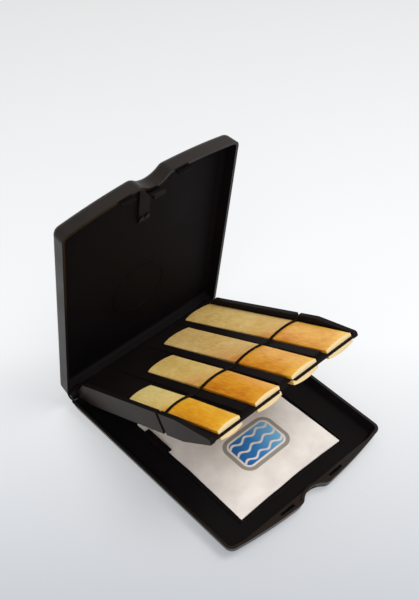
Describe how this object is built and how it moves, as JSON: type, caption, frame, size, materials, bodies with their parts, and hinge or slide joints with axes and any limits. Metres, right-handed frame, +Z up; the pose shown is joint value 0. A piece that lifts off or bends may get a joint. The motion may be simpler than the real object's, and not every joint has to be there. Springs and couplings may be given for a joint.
{
  "type": "reed case",
  "caption": "Slim hinged pocket case for woodwind reeds, with a lift-up tray, an elastic retaining band, a humidity pack and a thumb latch.",
  "frame": {"origin": "middle of the base's flat underside, halfway between the hinge axis and the front corners", "axes": "+Z up from the flat underside, +X along the hinge to the right as seen from the thumb scoop, +Y to the hinge"},
  "size_m": [0.1, 0.1313, 0.1295],
  "materials": {
    "shell_plastic": "moulded, satin",
    "tray_plastic": "moulded, satin",
    "latch_plastic": "moulded, satin",
    "reed_cane": "cut cane, dry",
    "band_elastic": "matt",
    "pouch_film": "matt coated film",
    "pin_steel": "drawn",
    "rivet_steel": "formed"
  },
  "bodies": {
    "base": {"base_shell": "shell_plastic", "hinge_pin_left": "pin_steel", "hinge_pin_right": "pin_steel", "humidity_pack": "pouch_film"},
    "tray": {"tray_frame": "tray_plastic", "retaining_band": "band_elastic", "upper_reed_1": "reed_cane", "upper_reed_2": "reed_cane", "upper_reed_3": "reed_cane", "upper_reed_4": "reed_cane", "lower_reed_1": "reed_cane", "lower_reed_2": "reed_cane", "lower_reed_3": "reed_cane", "lower_reed_4": "reed_cane"},
    "lid": {"lid_shell": "shell_plastic", "latch_spring": "latch_plastic", "spring_rivets": "rivet_steel"},
    "latch": {"latch_tongue": "latch_plastic"}
  },
  "joints": [
    {"name": "tray_hinge", "type": "hinge", "parent": "base", "child": "tray", "pos_m": [0, 0.0593, 0.0072], "axis": [-1, 0, 0], "range_deg": [-28.6, 31.4]},
    {"name": "lid_hinge", "type": "hinge", "parent": "tray", "child": "lid", "pos_m": [0, 0.0593, 0.0072], "axis": [-1, 0, 0], "range_deg": [-52.4, 30]},
    {"name": "latch_flex", "type": "hinge", "parent": "lid", "child": "latch", "pos_m": [0, 0.04761, 0.12259], "axis": [1, 0, 0], "range_deg": [0, 5.5], "stiffness_Nm_per_rad": 0.05}
  ]
}
